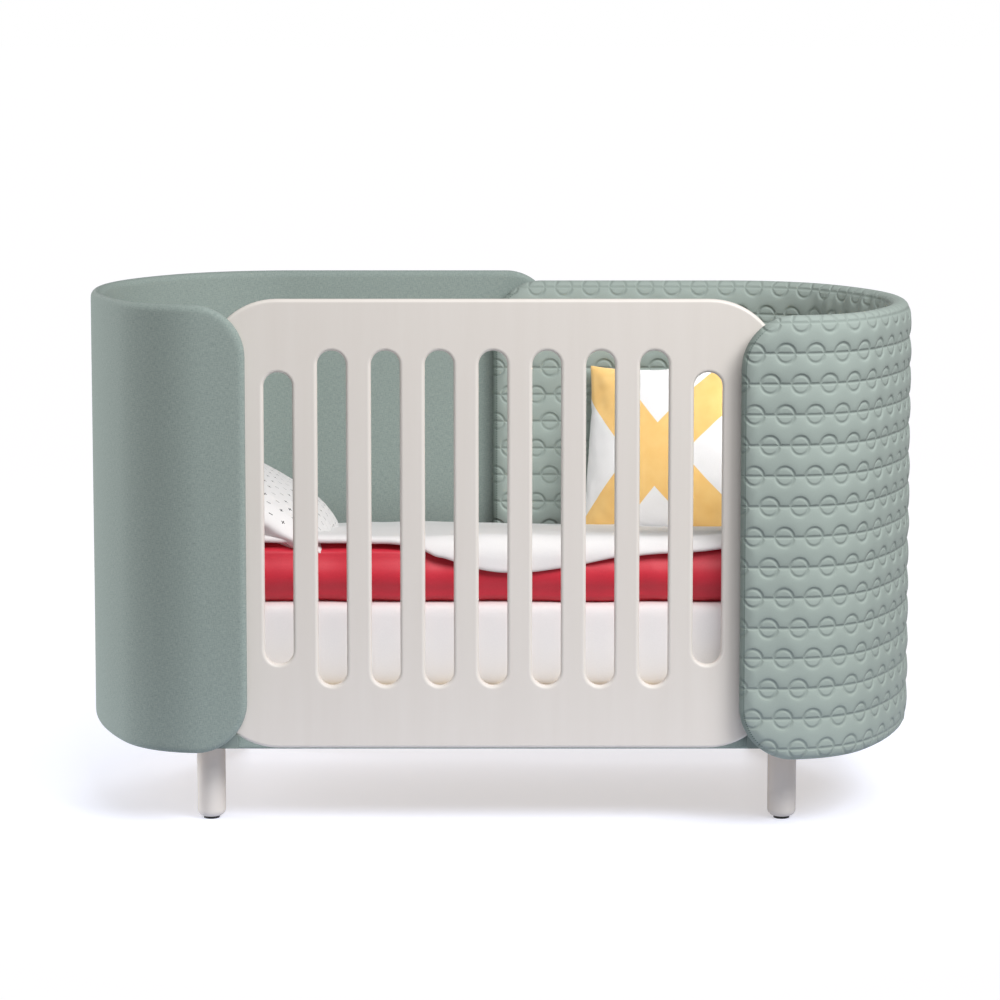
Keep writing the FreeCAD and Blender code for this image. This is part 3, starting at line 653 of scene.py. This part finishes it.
def railCover():
    # A profile from the top of the rail down its face, round the lower edge and back under the deck
    y, z = stripLow.y, stripLow.z
    profile = [(y, stripHigh.z - i * 10 * mm) for i in range(8)]
    for i in range(strip["turn"] + 1):
        angle = math.pi / 2 * i / strip["turn"]
        inward, upward = 1 - math.cos(angle), 1 - math.sin(angle)
        profile.append((y + strip["round"] * inward, z + strip["round"] * upward))
    profile.append((stripHigh.y, z))
    count = round((stripHigh.x - stripLow.x) / strip["step"])
    points = []
    uv = []
    for i in range(count + 1):
        x = stripLow.x + (stripHigh.x - stripLow.x) * i / count
        run = 0.0
        for j, (py, pz) in enumerate(profile):
            if j:
                run += math.dist(profile[j - 1], (py, pz))
            pull = noise.noise(Vector((x * 9, run * 20, 4))) * 0.3 * mm
            points.append((x, py + pull + 0.3 * mm, pz))
            uv.append((x, run))
    piece = meshPiece("frontRailCover", points, gridFaces(count + 1, len(profile), 0, True), uv)
    thick = piece.modifiers.new("thick", "SOLIDIFY")
    thick.thickness = strip["thick"]
    applyAll(piece)
    return piece


takePlace(railCover(), "frame", "woven_cover", linen, "front_rail_cover")


# Bedding

def remeshed(node, name, voxel, smooth):
    # A copy of a soft CAD solid with even small faces and softened edges
    piece = frame["nodes"][node].copy()
    piece.data = piece.data.copy()
    piece.name = name
    piece.data.name = name
    piece.parent = None
    for key in list(piece.keys()):
        del piece[key]
    bpy.context.scene.collection.objects.link(piece)
    even = piece.modifiers.new("even", "REMESH")
    even.mode = "VOXEL"
    even.voxel_size = voxel
    even.use_smooth_shade = True
    soft = piece.modifiers.new("soft", "SMOOTH")
    soft.factor = 0.5
    soft.iterations = smooth
    applyAll(piece)
    return piece


def plump(piece, pressure, frames, cap, stiffness=0.5):
    # Air pressure swells the closed cloth; no point ends further than cap from where it began
    scene = bpy.context.scene
    count = len(piece.data.vertices)
    before = np.empty(count * 3, dtype=np.float32)
    piece.data.vertices.foreach_get("co", before)
    cloth = piece.modifiers.new("air", "CLOTH")
    cloth.settings.use_pressure = True
    cloth.settings.uniform_pressure_force = pressure
    cloth.settings.effector_weights.gravity = 0
    cloth.settings.quality = 5
    cloth.settings.mass = 0.3
    cloth.settings.bending_stiffness = stiffness
    cloth.collision_settings.use_collision = False
    cloth.point_cache.frame_start = 1
    cloth.point_cache.frame_end = frames
    for step in range(1, frames + 1):
        scene.frame_set(step)
    graph = bpy.context.evaluated_depsgraph_get()
    after = np.empty(count * 3, dtype=np.float32)
    piece.evaluated_get(graph).data.vertices.foreach_get("co", after)
    piece.modifiers.clear()
    move = (after - before).reshape(-1, 3)
    length = np.linalg.norm(move, axis=1, keepdims=True)
    move *= np.minimum(1, cap / np.maximum(length, 1e-9))
    piece.data.vertices.foreach_set("co", (before.reshape(-1, 3) + move).ravel())
    piece.data.update()
    scene.frame_set(1)


def pushPoints(piece, change):
    # Moves every point along its normal by change(points, normals)
    mesh = piece.data
    points = np.empty(len(mesh.vertices) * 3, dtype=np.float32)
    mesh.vertices.foreach_get("co", points)
    normals = np.array([v.normal for v in mesh.vertices])
    points = points.reshape(-1, 3)
    points += normals * change(points, normals)[:, None]
    mesh.vertices.foreach_set("co", points.ravel())
    mesh.update()


sheetWhite = percale("fittedPercale", 0.8 * mm)
sheet = {"voxel": 9.0 * mm, "smooth": 14, "pull": 2.2 * mm, "swell": 1.2 * mm, "swellSize": 0.12,
         "inset": 1.5 * mm}
mattress = remeshed("mattress", "fittedMattress", sheet["voxel"], sheet["smooth"])


def sheetPull(points, normals):
    # The fitted sheet pulls in faint upright folds at the sides
    upright = points * np.array((9.0, 9.0, 1.5))
    side = 1 - np.abs(normals[:, 2])
    swell = drift(points, 4, sheet["swellSize"]) * sheet["swell"]
    return drift(upright, 2, 1.0) * sheet["pull"] * side + swell - sheet["inset"]


pushPoints(mattress, sheetPull)
takePlace(mattress, "bedding", "fitted_sheet", sheetWhite, "mattress")

quiltRed = {"voxel": 9.0 * mm, "smooth": 10, "pressure": 2.5, "frames": 14, "cap": 8.0 * mm,
            "swell": 5.0 * mm, "swellSize": 0.16, "crease": 7.0 * mm, "creaseSize": 0.07}
comforter = remeshed("red_comforter", "redComforter", quiltRed["voxel"], quiltRed["smooth"])
plump(comforter, quiltRed["pressure"], quiltRed["frames"], quiltRed["cap"])


def comforterFolds(points, normals):
    # Loose filling: broad swells with a few sharper creases running up the front
    swell = drift(points, 7, quiltRed["swellSize"]) * quiltRed["swell"]
    along = points * np.array((1.0, 0.5, 0.35))
    return swell - np.abs(drift(along, 9, quiltRed["creaseSize"])) * quiltRed["crease"]


pushPoints(comforter, comforterFolds)
takePlace(comforter, "bedding", "red_cotton", redSateen(), "red_comforter")
print("mattress and comforter made")

duvet = {
    "thick": 11.0 * mm, "grid": 9.0 * mm, "round": 30.0 * mm, "proud": 5.0 * mm,
    "ends": 100.0 * mm, "drawn": 70.0 * mm,  # the oval ends draw the sides in, front and back
    "short": 12.0 * mm,                      # from the back edge
    "swell": 5.0 * mm, "pucker": 2.5 * mm,
    # how far the front edge hangs down the comforter's face, along the bed from left to right
    "hang": ((-0.60, 0.0), (-0.17, 0.0), (-0.127, 0.013), (-0.08, 0.032), (-0.03, 0.048),
             (0.03, 0.052), (0.10, 0.044), (0.15, 0.035), (0.20, 0.023), (0.25, 0.016),
             (0.34, 0.014), (0.40, 0.008), (0.62, 0.0)),
}


def hangAt(x):
    places, drops = zip(*duvet["hang"])
    return float(np.interp(x, places, drops))


def topDuvet():
    # A thin filled layer that lies over the comforter and rolls over its front edge
    low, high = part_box("white_duvet")
    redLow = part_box("red_comforter")[0]
    slope = (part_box("white_duvet")[1].z - duvetBackHeight(high)) / (high.y - low.y)
    bend = duvet["round"]
    edgeY = redLow.y + bend - duvet["proud"]
    topZ = high.z - slope * (edgeY - low.y)
    columns = round((high.x - low.x) / duvet["grid"])
    rows = round((high.y - edgeY + 3 * bend) / duvet["grid"])
    points = []
    uv = []
    for i in range(columns + 1):
        x = low.x + (high.x - low.x) * i / columns
        reach = sum(hangAt(x + d) for d in (-0.03, -0.015, 0.0, 0.015, 0.03)) / 5
        fromMiddle = abs(x - (low.x + high.x) / 2)
        edge = max(0.0, fromMiddle - (high.x - low.x) / 2 + duvet["ends"]) / duvet["ends"]
        draw = duvet["drawn"] * edge ** 2.5
        backLength = high.y - duvet["short"] - draw - edgeY
        rolled = (0.35 + 0.65 * min(1.0, reach / 0.02)) * bend * math.pi / 2
        frontLength = rolled - draw + max(0.0, reach - 0.024)
        total = backLength + frontLength
        for j in range(rows + 1):
            t = total * j / rows
            if t < backLength:
                y = edgeY + backLength - t
                z = topZ - slope * (y - edgeY)
                normal = Vector((0, slope, 1)).normalized()
            else:
                angle = min((t - backLength) / bend, math.pi / 2)
                down = max(0.0, t - backLength - bend * math.pi / 2)
                y = edgeY - bend * math.sin(angle)
                z = topZ - bend * (1 - math.cos(angle)) - down
                normal = Vector((0, -math.sin(angle), math.cos(angle)))
            place = Vector((x, y, z))
            lift = noise.noise(place / 0.17 + Vector((3, 0, 0))) * duvet["swell"]
            lift += noise.noise(Vector((x / 0.06, y / 0.15, 8))) * duvet["pucker"]
            points.append(place + normal * lift)
            uv.append((x, t))
    piece = meshPiece("whiteDuvet", points, gridFaces(columns + 1, rows + 1, 0, False), uv)
    thick = piece.modifiers.new("thick", "SOLIDIFY")
    thick.thickness = duvet["thick"]
    thick.offset = 0.0
    soft = piece.modifiers.new("soft", "SUBSURF")
    soft.levels = 1
    applyAll(piece)
    return piece


def duvetBackHeight(high):
    # Height of the layer's top at its back edge, read from the CAD solid's own corners
    mesh = frame["nodes"]["white_duvet"].data
    return max(v.co.z for v in mesh.vertices if v.co.y > high.y - mm)


layer = topDuvet()
takePlace(layer, "bedding", "white_cotton", sheetWhite, "white_duvet")


cover = {
    "square": 2.4, "swell": 0.62,  # shape of the filling: how square its plan, how steep its edge
    "drawn": 0.055,                # how far the sides pull in between the corners, as a share
    "gather": 22.0 * mm, "pucker": 2.6 * mm,
    "pressure": 1.5, "frames": 14, "cap": 9.0 * mm, "stiffness": 0.2,
}


def blownCover(name, width, height, thickness, cell, corner):
    # Two panels sewn together round the edge over a filling, then swollen a little by air pressure so
    # that the cloth settles into creases; centred, facing +Z. corner draws the four corners in.
    across = round(width / cell)
    along = round(height / cell)
    points = []
    uv = []
    for way in (1, -1):
        for i in range(across + 1):
            for j in range(along + 1):
                a, b = 2 * i / across - 1, 2 * j / along - 1
                square = cover["square"]
                fullness = ((1 - abs(a) ** square) * (1 - abs(b) ** square)) ** cover["swell"]
                draw = 1 - corner * abs(a * b) ** 3
                x = a * width / 2 * (draw - cover["drawn"] * (1 - b * b))
                y = b * height / 2 * (draw - cover["drawn"] * (1 - a * a))
                # puckers run in from the seam and die out toward the middle
                gather = noise.noise(Vector((x / cover["gather"], y / cover["gather"], 2.5 * way)))
                pucker = gather * cover["pucker"] * fullness * (1 - fullness) * 4
                points.append((x, y, way * (thickness / 2 * fullness) + pucker))
                uv.append((a * width / 2, b * height / 2))
    size = (across + 1) * (along + 1)
    quads = gridFaces(across + 1, along + 1) + gridFaces(across + 1, along + 1, size, True)
    piece = meshPiece(name, points, quads, uv)
    sewn = bmesh.new()
    sewn.from_mesh(piece.data)
    bmesh.ops.remove_doubles(sewn, verts=sewn.verts, dist=0.05 * mm)
    sewn.to_mesh(piece.data)
    sewn.free()
    plump(piece, cover["pressure"], cover["frames"], cover["cap"], cover["stiffness"])
    soft = piece.modifiers.new("soft", "SUBSURF")
    soft.levels = 1
    applyAll(piece)
    extent = np.ptp(np.array([v.co for v in piece.data.vertices]), axis=0)
    scale = [target / max(real, 1e-6) for target, real in zip((width, height, thickness), extent)]
    piece.data.transform(Matrix.Diagonal((*scale, 1.0)))
    return piece


pillow = {"length": 336.0 * mm, "width": 515.0 * mm, "thick": 116.0 * mm, "tilt": 28.0, "roll": 3.0,
          "sink": 68.0 * mm, "cell": 6.0 * mm, "corner": 0.10}
cushion = {"wide": 364.0 * mm, "side": 350.0 * mm, "thick": 105.0 * mm, "yaw": 37.0, "lean": 16.0,
           "roll": 6.6, "sink": 26.0 * mm, "aside": 11.0 * mm, "cell": 5.5 * mm, "corner": 0.0}


def centreOf(node, sink):
    # Middle of a CAD solid, lowered by how deep the piece settles into the bedding
    low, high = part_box(node)
    return Matrix.Translation((low + high) / 2 - Vector((0, 0, sink)))


headPillow = blownCover("headPillow", pillow["length"], pillow["width"], pillow["thick"],
                        pillow["cell"], pillow["corner"])
slope = Matrix.Rotation(math.radians(-pillow["roll"]), 4, "X")
tilt = Matrix.Rotation(math.radians(pillow["tilt"]), 4, "Y")
headPillow.data.transform(centreOf("pillow", pillow["sink"]) @ slope @ tilt)
takePlace(headPillow, "pillow_body", "dotted_cotton", crossedPercale(), "pillow")

squareCushion = blownCover("squareCushion", cushion["wide"], cushion["side"], cushion["thick"],
                           cushion["cell"], cushion["corner"])
upright = Matrix.Rotation(math.radians(90), 4, "X")
lean = Matrix.Rotation(math.radians(-cushion["lean"]), 4, "X")
yaw = Matrix.Rotation(math.radians(-cushion["yaw"]), 4, "Z")
roll = Matrix.Rotation(math.radians(cushion["roll"]), 4, "Z")
aside = Matrix.Translation((-cushion["aside"], 0, 0))
squareCushion.data.transform(centreOf("cushion", cushion["sink"]) @ aside @ yaw @ lean @ upright @ roll)
takePlace(squareCushion, "cushion_body", "cross_print", yellowCrossCanvas(), "cushion")
print("bedding made")


# Materials for the CAD pieces that stay

slotMaterials = {
    "lacquered_beech": satinLacquer(),
    "birch_plywood": sealedWood("birchPlywood", "#dcc39a", "#c9a977", 9 * mm, (0.2, 1.0, 1.0)),
    "slat_wood": sealedWood("planedBirch", "#e2cda6", "#cfb483", 7 * mm, (1.0, 0.08, 1.0)),
    "rail_pine": sealedWood("planedPine", "#dfc08c", "#c79a5d", 6 * mm, (0.06, 1.0, 1.0)),
    "felt": pressedFelt(),
    "grey_nylon": mouldedNylon(),
    "channel_aluminium": drawnMetal("anodisedAluminium", "#c8c9ca", "#b4b6b8", 0.38, (900, 900, 4)),
    "brushed_steel": drawnMetal("brushedStainless", "#c4c4c3", "#a9aaaa", 0.3, (60, 900, 900)),
    "zinc_steel": drawnMetal("zincPlate", "#b9bcc0", "#a2a6ab", 0.35, (160, 160, 160)),
}
for part in frame["record"]["subparts"]:
    finish = slotMaterials.get(part["material_slot"])
    if finish is not None:
        mesh = frame["nodes"][part["node"]].data
        mesh.materials.clear()
        mesh.materials.append(finish)
        for face in mesh.polygons:
            face.material_index = 0
print("materials set")


# Floor, light and camera

def studioFloor():
    # Seamless white paper that runs far behind; it glows on its own with distance, as a lit sweep does
    look = {"half": 600.0, "nearGlow": 0.46, "farGlow": 1.02, "cast": 0.22, "from": 0.62, "to": 1.4}
    half = look["half"]
    floor = meshPiece("studioFloor", [(-half, -half, 0), (half, -half, 0), (half, half, 0), (-half, half, 0)],
                      [(0, 1, 2, 3)])
    paper = newMaterial("seamlessPaper", {"Roughness": 0.95, "Specular IOR Level": 0.05})
    place = addNode(paper, "ShaderNodeTexCoord").outputs["Object"]
    reach = addNode(paper, "ShaderNodeVectorMath", {0: place}, operation="LENGTH")
    away = addNode(paper, "ShaderNodeMapRange", {"Value": reach.outputs["Value"], "From Min": look["from"],
                   "From Max": look["to"]}, interpolation_type="SMOOTHSTEP")
    tint = blend(paper, away.outputs[0], hexColour("#cdd3e4"), (0, 0, 0, 1))
    glow = addNode(paper, "ShaderNodeMapRange", {"Value": away.outputs[0], "To Min": look["nearGlow"],
                   "To Max": look["farGlow"]})
    seen = addNode(paper, "ShaderNodeLightPath")
    share = addNode(paper, "ShaderNodeMapRange", {"Value": seen.outputs["Is Camera Ray"],
                    "To Min": look["cast"]})
    sent = maths(paper, "MULTIPLY", glow.outputs[0], share.outputs[0])
    plug(paper, Base_Color=tint, Emission_Strength=sent)
    paper.node_tree.nodes["Principled BSDF"].inputs["Emission Color"].default_value = hexColour("#fdfcff")
    floor.data.materials.append(paper)
    return floor


# A low lamp behind the bed lights only the paper, so that it clears toward the back
sweep = bpy.data.collections.new("sweep")
sweep.objects.link(studioFloor())
# The front lights shine through the slotted gate as if it were far more open, as wide reflectors do
openGate = bpy.data.collections.new("openGate")
openGate.objects.link(frame["nodes"]["gate_panel"])
openGate.collection_objects[0].light_linking.link_state = "EXCLUDE"
# A reflector on the left fills the cushion, which faces away from the key
filled = bpy.data.collections.new("filled")
filled.objects.link(squareCushion)
lights = {
    "key": {"place": (3.0, -3.3, 4.0), "size": 2.2, "power": 190.0, "aim": (0.1, 0.0, 0.5), "open": True},
    "front": {"place": (0.9, -3.4, 4.2), "size": 2.2, "power": 100.0, "aim": (0.0, 0.1, 0.5), "open": True},
    "rimLeft": {"place": (-3.4, 0.7, 0.7), "size": 1.3, "power": 74.0, "aim": (-0.6, 0.0, 0.5)},
    "reflector": {"place": (-2.4, -3.0, 3.4), "size": 2.0, "power": 56.0, "aim": (0.2, 0.1, 0.5),
                  "open": True, "lights": filled},
    "behind": {"place": (0.0, 4.0, 1.3), "size": 1.6, "power": 150.0, "aim": (0.0, 0.2, 0.0),
               "lights": sweep},
}
for name, light in lights.items():
    lamp = bpy.data.lights.new(name, "AREA")
    lamp.size = light["size"]
    lamp.energy = light["power"]
    holder = bpy.data.objects.new(name, lamp)
    holder.location = light["place"]
    toward = Vector(light["aim"]) - Vector(light["place"])
    holder.rotation_euler = toward.to_track_quat("-Z", "Y").to_euler()
    if light.get("open"):
        holder.light_linking.blocker_collection = openGate
    holder.light_linking.receiver_collection = light.get("lights")
    bpy.context.scene.collection.objects.link(holder)
world = bpy.data.worlds.new("studio")
world.use_nodes = True
backdrop = {"cast": 0.21, "seen": 1.0}
seen = addNode(world, "ShaderNodeLightPath")
level = addNode(world, "ShaderNodeMapRange", {"Value": seen.outputs["Is Camera Ray"],
                "To Min": backdrop["cast"], "To Max": backdrop["seen"]})
sky = world.node_tree.nodes["Background"]
sky.inputs["Color"].default_value = (1.0, 1.0, 1.0, 1.0)
world.node_tree.links.new(level.outputs[0], sky.inputs["Strength"])
bpy.context.scene.world = world
bpy.context.scene.view_settings.view_transform = "Standard"

camera = {"distance": 5.693, "height": 1.357, "aside": -0.001, "lens": 113.2, "pitch": 5.623, "shift": -0.15}
lensData = bpy.data.cameras.new("camera")
lensData.lens = camera["lens"]
lensData.sensor_width = 36.0
lensData.shift_y = camera["shift"]
lensData.clip_end = 2000.0
viewer = bpy.data.objects.new("camera", lensData)
viewer.location = (camera["aside"], -camera["distance"], camera["height"])
viewer.rotation_euler = (math.radians(90 - camera["pitch"]), 0, 0)
bpy.context.scene.collection.objects.link(viewer)
bpy.context.scene.camera = viewer

print("scene ready")
